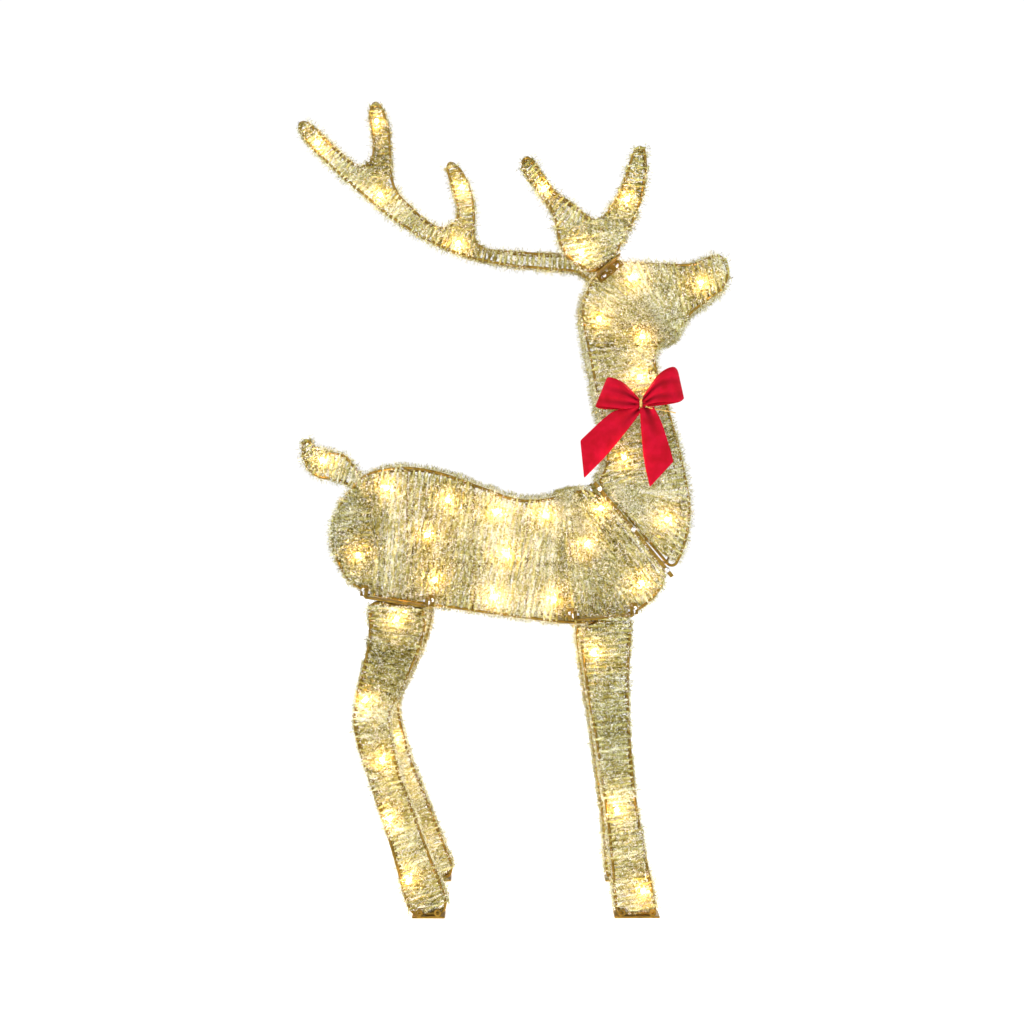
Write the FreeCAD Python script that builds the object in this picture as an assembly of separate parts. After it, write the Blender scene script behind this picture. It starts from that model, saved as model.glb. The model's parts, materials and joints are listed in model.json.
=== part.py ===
import FreeCAD, Part
import math
import os

# Lighted yard reindeer, a standing buck: tinsel-wound sections on a welded wire frame, four folding legs.
# Millimetres. +X is forwards (the head's side), +Z up, -Y the animal's right flank.

V = FreeCAD.Vector

# Overall sizes
HEIGHT = 1320.0            # feet to highest antler tip
LENGTH = 711.0             # antler tips to nose
ANTLER_SPREAD = 330.0      # across the two antlers' outer faces
BODY_HALF = 78.0           # half width of the body section
HEAD_HALF = 50.0           # half width at the top of the head
HEAD_TOP = 1023.0          # height at which the head has that width
LEG_DEPTH = 38.0           # leg section, across
LEG_SPLAY = 0.06           # outward lean of a leg, mm per mm of height
TAIL_DEPTH = 30.0
ANTLER_DEPTH = 30.0

# Wire, tinsel and light string
WIRE_R = 2.25              # side loops
CROSS_R = 1.75             # cross wires and ribs
SKIN = 2.0                 # thickness of the tinsel winding
WIRE_GAP = 0.15            # wire to winding
WELD = 0.05                # how deep a cross wire's end bites into its loop
CROSS_PITCH = 120.0        # spacing of the cross wires along a loop
LEG_CROSS_PITCH = 150.0
ANTLER_CROSS_PITCH = 70.0
TAIL_CROSS_PITCH = 60.0
RIB_STATIONS = (-165.0, -62.0, 24.0, 92.0)
MID_WIRE_Z = 536.0
LIGHT_R = 1.2
LIGHT_DEPTH = 10.6         # light string's centre line in from the winding's inner face
LIGHT_SHARE = 0.8154       # the same, as a share of the inner half depth, in the antlers and the tail
LIGHT_BEND_R = 12.0
LIGHT_STRAY = 0.95         # how far a bend may pass from its bulb, as a share of the socket's radius
LENS_R = 2.5
LENS_GAP = 0.4             # lens tip to the winding's inner face
SOCKET_R = 3.0
SOCKET_SHARE = 0.4444      # share of a bulb's length that is its socket

# Leg hinges
LEG_CLEAR = 5.0            # body flank to the leg's inner face
BAR_DROP = 15.0            # hinge bar's underside below the leg's top line
BAR_THICK = 3.0
AXIS_DROP = 7.0            # hinge axis below the leg's top line
EAR_THICK = 2.5
EAR_GAP = 0.4
BOLT_R = 2.0
BOLT_PLAY = 0.05
HEAD_R = 4.5
HEAD_TALL = 3.0
NUT_R = 4.0
NUT_TALL = 3.2
NUT_CLEAR = 0.3
BRACKET_HALF = 7.0
FLANGE_RISE = 11.0         # top of a bracket's flange above the hinge axis
FLANGE_PLATE = 2.0
FLANGE_LONG = 11.0
FLANGE_SCREW_RISE = 3.0    # flange screw above the hinge axis

# Feet
FOOT_BAR = 3.0
SLEEVE_LIFT = 10.0         # open lower end of a leg's winding above the ground
FOOT_LIP = 4.0
EYE_R = 5.5
EYE_BORE_R = 2.75
EYE_THICK = 2.6
EYE_BITE = 0.3
EYE_INSET = 11.0

# Body to neck joint
JOINT_TOP = (127.0, 666.0)
JOINT_FOOT = (250.0, 518.0)
JOINT_GAP = 6.0
JOINT_BAR_DEEP = 12.0
JOINT_BOLTS = (0.07, 0.5, 0.93)

# Antler brackets
BASE_LOW = (132.0, 996.0)
BASE_HIGH = (168.0, 1026.0)
BRACKET_THICK = 2.5
BRACKET_FLANGE = 15.0
FLANGE_THICK = 1.6
SCREW_R = 1.5
SCREW_HEAD_R = 3.6
SCREW_HEAD_TALL = 2.4
ANTLER_START = 4.0         # antler's inner face out from the head at the bracket's low end

# Bow
BOW_BACK = 1.0
BOW_LOOP_THICK = 24.0
BOW_TAIL_THICK = 5.0
KNOT_THICK = 30.0
TIE_R = 1.0

# Light lead's inlet under the belly
INLET_R = 8.0
INLET_LONG = 26.0
INLET_AT = (-185.0, 48.0)
INLET_FOOT = 466.0

CORNER_SHARE = 0.47        # share of an outline's shorter side that a corner's arc takes up
ROOM = 1500.0              # half the width of the space that cutting solids fill
TOP_ROOM = 20.0            # how far they stand above an outline
DRAWN_HEIGHT = 1320.0
DRAWN_LENGTH = 711.0
KX = LENGTH / DRAWN_LENGTH
KZ = HEIGHT / DRAWN_HEIGHT

# Side-view outlines, (x, z), drawn for a buck 1320 tall.
BODY = [JOINT_FOOT, (222, 479), (190, 457), (148, 447), (96, 442), (-19, 456), (-220, 486), (-260, 508),
        (-284, 552), (-289, 592), (-276, 632), (-238, 682), (-205, 693), (-157, 696), (-110, 687),
        (0, 646), (30, 642), (61, 646), JOINT_TOP]
NECK = [(146, 692), (148, 716), (144, 745), (109, 925), (109, 952), (118, 978), (132, 1002), (150, 1018),
        (172, 1023), (269, 1018), (296, 1021), (318, 1033), (336, 1033), (347, 1012), (347, 992),
        (337, 973), (300, 946), (284, 932), (262, 901), (238, 892), (228, 872), (232, 846), (264, 739),
        (281, 656), (284, 629), (282, 596), (273, 562)]
TAIL = [(-228, 640), (-257, 657), (-269, 664), (-290, 671), (-313, 673), (-330, 686), (-340, 706),
        (-342, 726), (-340, 741), (-326, 742), (-317, 727), (-300, 722), (-272, 718), (-258, 706),
        (-240, 680), (-215, 660)]
REAR_LEG = [(-226, 502), (-132, 488), (-131, 451), (-137, 417), (-150, 384), (-187, 310), (-187, 285),
            (-172, 218), (-96, 24), (-103, 1), (-153, 1), (-163, 15), (-195, 127), (-241, 260),
            (-249, 300), (-244, 335), (-226, 413), (-223, 444)]
FRONT_LEG = [(98, 467), (186, 474), (187, 440), (182, 348), (185, 270), (194, 170), (221.5, 27),
             (226, 1), (157, 1), (154.5, 27), (148, 115), (126, 275), (112, 352)]
LONG_ANTLER = [BASE_LOW, (112, 1016), (60, 1021), (-2, 1026), (-58, 1037), (-114, 1056), (-189, 1098),
               (-277, 1172), (-348, 1242), (-364, 1268), (-364, 1283), (-350, 1287), (-335, 1277),
               (-271, 1214), (-255, 1205), (-242, 1210), (-237, 1228), (-237, 1252), (-246, 1300),
               (-238, 1320), (-226, 1320), (-216, 1306), (-203, 1262), (-201, 1190), (-190, 1156),
               (-143, 1111), (-124, 1098), (-106, 1099), (-95, 1111), (-93, 1130), (-114, 1200),
               (-109, 1213), (-98, 1213), (-80, 1196), (-62, 1150), (-59, 1112), (-61, 1085),
               (-56, 1069), (-40, 1060), (60, 1053), (120, 1053), (152, 1044), BASE_HIGH]
SHORT_ANTLER = [BASE_LOW, (107, 1003), (83, 1019), (70, 1042), (64, 1077), (56, 1092), (13, 1148),
                (12, 1162), (22, 1170), (35, 1162), (68, 1116), (93, 1103), (118, 1082), (131, 1077),
                (143, 1084), (166, 1118), (182, 1172), (193, 1185), (206, 1178), (210, 1150),
                (206, 1112), (191, 1070), (173, 1043), BASE_HIGH]

# Routes of the light string, with a bulb at each point but the branches' last
BODY_LIGHTS = [(-121, 515), (-27, 488), (66, 483), (204, 510), (118, 571), (-8, 554), (-134, 585),
               (-242, 555), (-198, 659), (-101, 640), (-25, 622), (53, 617), (140, 628)]
NECK_LIGHTS = [(244, 609), (177, 707), (203, 834), (206, 899), (138, 928), (191, 994), (300, 985)]
TAIL_LIGHTS = [(-306, 705), (-272, 692)]
REAR_LIGHTS = [(-179, 455), (-227, 330), (-200, 240), (-189, 150), (-158, 57)]
FRONT_LIGHTS = [(127, 402), (161, 163), (201, 40)]
LONG_LIGHTS = [(-84, 1164), (-89, 1067), (-221, 1151), (-327, 1242)]
LONG_BRANCH = [(-229, 1282), (-219, 1172)]
SHORT_LIGHTS = [(49, 1121), (108, 1029), (178, 1107)]

# Bow pieces, (x, z)
BOW_KNOT = [(194, 786), (210, 786), (212, 808), (192, 808)]
BOW_TIE = [(196, 790), (212, 802)]
BOW_LOOP_REAR = [(193, 790), (193, 806), (149, 831), (138, 818), (131, 789), (140, 782)]
BOW_LOOP_FRONT = [(211, 790), (211, 806), (254, 848), (262, 830), (269, 799), (255, 791)]
BOW_TAIL_REAR = [(194, 785), (202, 783), (166, 716), (114, 672), (104, 731), (150, 768)]
BOW_TAIL_FRONT = [(203, 783), (211, 785), (234, 767), (254, 700), (216, 658), (202, 710)]


def scaled(points):
    """The outline at the buck's real length and height."""
    return [(x * KX, z * KZ) for x, z in points]


def left_turning(points):
    """The outline's points in anticlockwise order."""
    area = 0.0
    for (ax, az), (bx, bz) in zip(points, points[1:] + points[:1]):
        area += ax * bz - bx * az
    return points if area > 0 else points[::-1]


def rounded(points, inset=0.0, widest=None, closed=True):
    """Tangent lines and arcs through an outline: each corner gets the widest arc its sides allow.

    A closed outline's curve is then moved inwards by inset, so that it runs even with the first one.
    """
    if closed:
        points = left_turning(points)
    count = len(points)
    pts = [V(x, 0, z) for x, z in points]
    trims = []
    mids = []
    for i in range(count):
        b = pts[i]
        if not closed and i in (0, count - 1):
            trims.append((b, b))
            mids.append(None)
            continue
        to_a = pts[i - 1] - b
        to_c = pts[(i + 1) % count] - b
        reach = CORNER_SHARE * min(to_a.Length, to_c.Length)
        to_a.normalize()
        to_c.normalize()
        turn = math.pi - to_a.getAngle(to_c)
        if turn < 0.01:
            inwards = V(-to_c.z, 0, to_c.x) * inset
            trims.append((b + inwards, b + inwards))
            mids.append(None)
            continue
        if widest:
            stray = SOCKET_R * LIGHT_STRAY / (1 / math.cos(turn / 2) - 1)
            reach = min(reach, min(widest, stray) * math.tan(turn / 2))
        radius = reach / math.tan(turn / 2)
        axis = (to_a + to_c).normalize()
        centre = b + axis * (radius / math.cos(turn / 2))
        hollow_corner = to_c.x * to_a.z - to_c.z * to_a.x < 0
        share = (radius + inset) / radius if hollow_corner else (radius - inset) / radius
        mids.append(centre - axis * (radius * share))
        start = centre + (b + to_a * reach - centre) * share
        end = centre + (b + to_c * reach - centre) * share
        trims.append((start, end))
    edges = []
    for i in range(count):
        if mids[i] is not None:
            edges.append(Part.Arc(trims[i][0], mids[i], trims[i][1]).toShape())
        if i == count - 1 and not closed:
            break
        start = trims[i][1]
        end = trims[(i + 1) % count][0]
        if start.distanceToPoint(end) > 1e-6:
            edges.append(Part.LineSegment(start, end).toShape())
    return edges


class Lean:
    """A side plane of a section: y = y0 + slope (z - z0)."""

    def __init__(self, y0, slope=0.0, z0=0.0):
        self.y0 = y0
        self.slope = slope
        self.z0 = z0
        self.stretch = math.sqrt(1 + slope * slope)

    def at(self, z):
        return self.y0 + self.slope * (z - self.z0)

    def moved(self, d):
        """The parallel plane at distance d towards +Y."""
        return Lean(self.y0 + d * self.stretch, self.slope, self.z0)

    def flat(self, points):
        return [(x, (z - self.z0) * self.stretch) for x, z in points]

    def place(self, shape):
        shape.rotate(V(0, 0, 0), V(1, 0, 0), -math.degrees(math.atan(self.slope)))
        shape.translate(V(0, self.y0, self.z0))
        return shape


def between(points, low, high):
    """The space between two side planes, as high as an outline reaches."""
    top = max(z for x, z in points) + TOP_ROOM
    ends = [V(-ROOM, low.at(0), 0), V(-ROOM, high.at(0), 0)]
    ends += [V(-ROOM, high.at(top), top), V(-ROOM, low.at(top), top)]
    return Part.Face(Part.makePolygon(ends + ends[:1])).extrude(V(2 * ROOM, 0, 0))


def slab(points, low, high, inset=0.0):
    """A section's solid: the outline, inset, between two side planes, each inset too."""
    low = low.moved(inset)
    high = high.moved(-inset)
    if abs(low.slope - high.slope) < 1e-9:
        wire = Part.Wire(rounded(low.flat(points), inset))
        face = low.place(Part.Face(wire))
        return face.extrude(V(0, high.at(0) - low.at(0), 0))
    wire = Part.Wire(rounded(points, inset))
    wire.translate(V(0, -ROOM, 0))
    block = Part.Face(wire).extrude(V(0, 2 * ROOM, 0))
    return block.common(between(points, low, high))


def hollow(points, low, high):
    """The closed tinsel winding of a section."""
    return slab(points, low, high).cut(slab(points, low, high, SKIN))


def tube(edges, radius):
    """A round wire along tangent edges."""
    path = Part.Wire(edges)
    first = edges[0]
    start = first.valueAt(first.FirstParameter)
    along = first.tangentAt(first.FirstParameter)
    ring = Part.Wire([Part.makeCircle(radius, start, along)])
    return solid(path.makePipeShell([ring], True, False))


def solid(shape):
    """The shape as one outward-facing solid."""
    if shape.ShapeType != "Solid":
        shape = shape.Solids[0] if shape.Solids else Part.Solid(shape.Shells[0])
    if shape.Volume < 0:
        shape.reverse()
    return shape


def wire_inset():
    return SKIN + WIRE_GAP + WIRE_R


def loop_path(points, plane, towards):
    """Centre line of a side loop that lies just inside a section's side plane."""
    inner = plane.moved(towards * wire_inset())
    edges = rounded(inner.flat(points), wire_inset())
    return [inner.place(edge) for edge in edges]


def bar(a, b, radius):
    axis = b - a
    return Part.makeCylinder(radius, axis.Length, a, axis)


def frame(points, low, high, pitch=CROSS_PITCH):
    """Two side loops and the cross wires welded between them."""
    near = loop_path(points, low, 1)
    far = loop_path(points, high, -1)
    loops = [tube(near, WIRE_R), tube(far, WIRE_R)]
    near_wire = Part.Wire(near)
    far_wire = Part.Wire(far)
    count = max(3, int(round(near_wire.Length / pitch)))
    crosses = []
    for a in near_wire.discretize(Number=count + 1)[:-1]:
        b = min(far_wire.discretize(Number=count + 1)[:-1], key=lambda p: math.hypot(p.x - a.x, p.z - a.z))
        step = (b - a).normalize() * (WIRE_R - WELD)
        crosses.append(bar(a + step, b - step, CROSS_R))
    return loops, crosses


def light_string(route, low, high, bulbs=None, depth=LIGHT_DEPTH):
    """Wires, sockets and lenses of the light string along both sides of a section."""
    wires = []
    lenses = []
    bulb_long = depth - LIGHT_R - LENS_GAP
    socket_long = bulb_long * SOCKET_SHARE
    lens_long = bulb_long - socket_long
    for plane, out in ((low, -1), (high, 1)):
        line = plane.moved(-out * (SKIN + depth))
        edges = rounded(line.flat(route), widest=LIGHT_BEND_R, closed=False)
        wires.append(tube([line.place(edge) for edge in edges], LIGHT_R))
        way = V(0, out, -out * plane.slope).normalize()
        for x, z in bulbs or route:
            root = V(x, line.at(z), z) + way * (LIGHT_R * 0.999)
            wires.append(Part.makeCylinder(SOCKET_R, socket_long, root, way))
            foot = root + way * socket_long
            lens = Part.makeCylinder(LENS_R, lens_long - LENS_R, foot, way)
            cap = Part.makeSphere(LENS_R, foot + way * (lens_long - LENS_R))
            lenses.append(lens.fuse(cap).removeSplitter())
    return wires, lenses


def dome(centre, way, radius, tall):
    """Round bolt head standing on a face."""
    ball_r = (radius * radius + tall * tall) / (2 * tall)
    ball = Part.makeSphere(ball_r, centre + way * (tall - ball_r))
    return ball.common(Part.makeCylinder(radius, tall, centre, way))


def hexagon(centre, way, radius, tall):
    """Nut with its flats round the given axis."""
    side = way.cross(V(0, 0, 1))
    if side.Length < 0.1:
        side = V(1, 0, 0)
    side.normalize()
    up = way.cross(side)
    corners = []
    for i in range(6):
        angle = math.radians(60 * i)
        corners.append(centre + side * (radius * math.cos(angle)) + up * (radius * math.sin(angle)))
    return Part.Face(Part.makePolygon(corners + corners[:1])).extrude(way * tall)


def moved_line(a, b, d):
    """A side-view line moved by d to the right of its direction."""
    length = math.hypot(b[0] - a[0], b[1] - a[1])
    nx = (b[1] - a[1]) / length
    nz = -(b[0] - a[0]) / length
    return (a[0] + nx * d, a[1] + nz * d), (b[0] + nx * d, b[1] + nz * d)


def band(a, b, d0, d1):
    """Four corners between a side-view line moved by d0 and by d1."""
    p, q = moved_line(a, b, d0)
    s, r = moved_line(a, b, d1)
    return [p, q, r, s]


def sheet(points, low, high):
    """A flat plate with sharp corners between two side planes."""
    corners = [V(x, -ROOM, z) for x, z in left_turning(points)]
    block = Part.Face(Part.makePolygon(corners + corners[:1])).extrude(V(0, 2 * ROOM, 0))
    return block.common(between(points, low, high))


def mirrored(shape):
    return shape.mirror(V(0, 0, 0), V(0, 1, 0))


nodes = {}


def node(name, *shapes):
    nodes.setdefault(name, []).extend(shapes)


# Body section
flank_low = Lean(-BODY_HALF)
flank_high = Lean(BODY_HALF)
body_line = scaled(BODY)
body_outer = slab(body_line, flank_low, flank_high)
node("body_tinsel", hollow(body_line, flank_low, flank_high))
loops, crosses = frame(body_line, flank_low, flank_high)
node("body_side_wires", *loops)
node("body_cross_wires", *crosses)
rib_room = Part.Face(Part.Wire(rounded(body_line, wire_inset())))
for side, loop in zip((-1, 1), loops):
    y = side * (BODY_HALF - wire_inset())
    for x in RIB_STATIONS:
        line = Part.LineSegment(V(x * KX, 0, 0), V(x * KX, 0, HEIGHT)).toShape()
        rib = line.common(rib_room).Edges[0]
        ends = [v.Point + V(0, y, 0) for v in rib.Vertexes]
        rib = bar(ends[0], ends[1], CROSS_R).cut(loop)
        node("body_ribs", max(rib.Solids, key=lambda s: s.Volume))
    y = side * (BODY_HALF - wire_inset() - 2 * CROSS_R + WELD)
    a = V((RIB_STATIONS[0] - 6) * KX, y, MID_WIRE_Z * KZ)
    b = V((RIB_STATIONS[-1] + 6) * KX, y, MID_WIRE_Z * KZ)
    node("body_ribs", bar(a, b, CROSS_R))

# Neck and head section, narrower towards the top
joint_top = (JOINT_TOP[0] * KX, JOINT_TOP[1] * KZ)
joint_foot = (JOINT_FOOT[0] * KX, JOINT_FOOT[1] * KZ)
neck_foot, neck_top = moved_line(joint_foot, joint_top, JOINT_GAP)
joint_mid_z = (joint_top[1] + joint_foot[1]) / 2
head_top_z = HEAD_TOP * KZ
taper = (BODY_HALF - HEAD_HALF) / (head_top_z - joint_mid_z)
head_low = Lean(-BODY_HALF, taper, joint_mid_z)
head_high = Lean(BODY_HALF, -taper, joint_mid_z)
neck_line = [neck_top] + scaled(NECK) + [neck_foot]
head_outer = slab(neck_line, head_low, head_high)
neck_skin = hollow(neck_line, head_low, head_high)
loops, crosses = frame(neck_line, head_low, head_high)
node("neck_side_wires", *loops)
node("neck_cross_wires", *crosses)

# Flat bars and bolts that join the neck to the body
for side in (-1, 1):
    inner = side * (BODY_HALF - JOINT_BAR_DEEP)
    outer = side * BODY_HALF
    low, high = sorted((inner, outer))
    strip = sheet(band(joint_foot, joint_top, 0, JOINT_GAP), Lean(low), Lean(high))
    mid_foot, mid_top = moved_line(joint_foot, joint_top, JOINT_GAP / 2)
    for share in JOINT_BOLTS:
        x = mid_foot[0] + share * (mid_top[0] - mid_foot[0])
        z = mid_foot[1] + share * (mid_top[1] - mid_foot[1])
        out = V(0, side, 0)
        shank_long = JOINT_BAR_DEEP + NUT_TALL
        shank = Part.makeCylinder(BOLT_R, shank_long, V(x, outer, z), out * -1)
        strip = strip.cut(shank)
        head = dome(V(x, outer, z), out, HEAD_R, HEAD_TALL)
        nut = hexagon(V(x, inner, z), out * -1, JOINT_GAP / 2 - 0.1, NUT_TALL)
        node("neck_bolts", head.fuse(shank).fuse(nut).removeSplitter())
    node("neck_joint_bars", strip)

# Tail
tail_low = Lean(-TAIL_DEPTH / 2)
tail_high = Lean(TAIL_DEPTH / 2)
tail_line = scaled(TAIL)
node("tail_tinsel", solid(hollow(tail_line, tail_low, tail_high).cut(body_outer)))
loops, crosses = frame(tail_line, tail_low, tail_high, TAIL_CROSS_PITCH)
body_room = slab(body_line, flank_low, flank_high, -WIRE_GAP)
for wire in loops + crosses:
    rest = wire.cut(body_room)
    node("tail_frame", *[piece for piece in rest.Solids if piece.Volume > 1.0])

# Antlers on their brackets
base_low = (BASE_LOW[0] * KX, BASE_LOW[1] * KZ)
base_high = (BASE_HIGH[0] * KX, BASE_HIGH[1] * KZ)


def antler(name, outline, strings):
    """One antler of the -Y side, leaning outwards, with its bracket and screws."""
    line = scaled(outline)
    tip_z = max(z for x, z in line)
    inner_y = head_low.at(base_low[1]) - ANTLER_START
    lean = (ANTLER_SPREAD / 2 + inner_y - ANTLER_DEPTH) / (tip_z - base_low[1])
    high = Lean(inner_y, -lean, base_low[1])
    low = Lean(inner_y - ANTLER_DEPTH, -lean, base_low[1])
    loops, crosses = frame(line, low, high, ANTLER_CROSS_PITCH)
    found = {"_tinsel": [hollow(line, low, high)], "_frame": loops + crosses}
    cap = sheet(band(base_low, base_high, 0, BRACKET_THICK), Lean(low.at(base_high[1])), head_low)
    flange = sheet(band(base_low, base_high, 0, BRACKET_FLANGE), head_low.moved(-FLANGE_THICK), head_low)
    bracket = cap.fuse(flange)
    screws = []
    for share in (0.25, 0.8):
        line_low, line_high = moved_line(base_low, base_high, BRACKET_FLANGE * 0.58)
        x = line_low[0] + share * (line_high[0] - line_low[0])
        z = line_low[1] + share * (line_high[1] - line_low[1])
        normal = V(0, -1, head_low.slope).normalize()
        seat = V(x, head_low.at(z), z) + normal * FLANGE_THICK
        shank = Part.makeCylinder(SCREW_R, FLANGE_THICK + SKIN, seat, normal * -1)
        bracket = bracket.cut(shank)
        screws.append(dome(seat, normal, SCREW_HEAD_R, SCREW_HEAD_TALL).fuse(shank).removeSplitter())
    found["_bracket"] = [bracket]
    found["_screws"] = screws
    wires = []
    lenses = []
    depth = (ANTLER_DEPTH / 2 - SKIN) * LIGHT_SHARE
    for route, bulbs in strings:
        more_wires, more_lenses = light_string(scaled(route), low, high, scaled(bulbs), depth)
        wires += more_wires
        lenses += more_lenses
    return found, wires, lenses


root_wires = []
root_lenses = []
screw_holes = []
short_strings = [(SHORT_LIGHTS, SHORT_LIGHTS)]
long_strings = [(LONG_LIGHTS, LONG_LIGHTS), (LONG_BRANCH, LONG_BRANCH[:1])]
for name, outline, strings, flip in (("near_antler", SHORT_ANTLER, short_strings, False),
                                     ("far_antler", LONG_ANTLER, long_strings, True)):
    found, wires, lenses = antler(name, outline, strings)
    for suffix, shapes in found.items():
        shapes = [mirrored(shape) for shape in shapes] if flip else shapes
        if suffix == "_screws":
            node("antler_screws", *shapes)
            screw_holes += shapes
        else:
            node(name + suffix, *shapes)
    root_wires += [mirrored(shape) for shape in wires] if flip else wires
    root_lenses += [mirrored(shape) for shape in lenses] if flip else lenses
for hole in screw_holes:
    neck_skin = neck_skin.cut(hole)
node("neck_tinsel", neck_skin)

# Light strings of the body, neck and tail
tail_light_depth = (TAIL_DEPTH / 2 - SKIN) * LIGHT_SHARE
for route, low, high, bulbs, depth in ((BODY_LIGHTS, flank_low, flank_high, BODY_LIGHTS, LIGHT_DEPTH),
                                       (NECK_LIGHTS, head_low, head_high, NECK_LIGHTS, LIGHT_DEPTH),
                                       (TAIL_LIGHTS, tail_low, tail_high, TAIL_LIGHTS[:1], tail_light_depth)):
    wires, lenses = light_string(scaled(route), low, high, scaled(bulbs), depth)
    root_wires += wires
    root_lenses += lenses
node("light_wire", *root_wires)
node("light_lenses", *root_lenses)

# Bow, laid on the neck's near face
knot_low = head_low.moved(-KNOT_THICK)
loop_low = head_low.moved(-BOW_BACK - BOW_LOOP_THICK)
tail_low_side = head_low.moved(-BOW_BACK - BOW_TAIL_THICK)
bow_back = head_low.moved(-BOW_BACK)
knot = sheet(scaled(BOW_KNOT), knot_low, head_low)
node("bow_knot", knot)
for name, outline, low in (("bow_loop_rear", BOW_LOOP_REAR, loop_low),
                           ("bow_loop_front", BOW_LOOP_FRONT, loop_low),
                           ("bow_tail_rear", BOW_TAIL_REAR, tail_low_side),
                           ("bow_tail_front", BOW_TAIL_FRONT, tail_low_side)):
    piece = sheet(scaled(outline), low, bow_back).cut(knot)
    node(name, max(piece.Solids, key=lambda s: s.Volume))
tie_line = knot_low.moved(-TIE_R - WIRE_GAP)
tie_ends = [V(x, tie_line.at(z), z) for x, z in scaled(BOW_TIE)]
node("bow_tie", bar(tie_ends[0], tie_ends[1], TIE_R))

# Inlet of the light lead, under the belly
inlet = Part.makeCylinder(INLET_R, INLET_LONG, V(INLET_AT[0] * KX, INLET_AT[1], INLET_FOOT * KZ))
node("lead_inlet", inlet.cut(body_outer).Solids[0])

# Legs, built for the -Y side and mirrored for the other
joints = {}
mounts = {}


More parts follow.
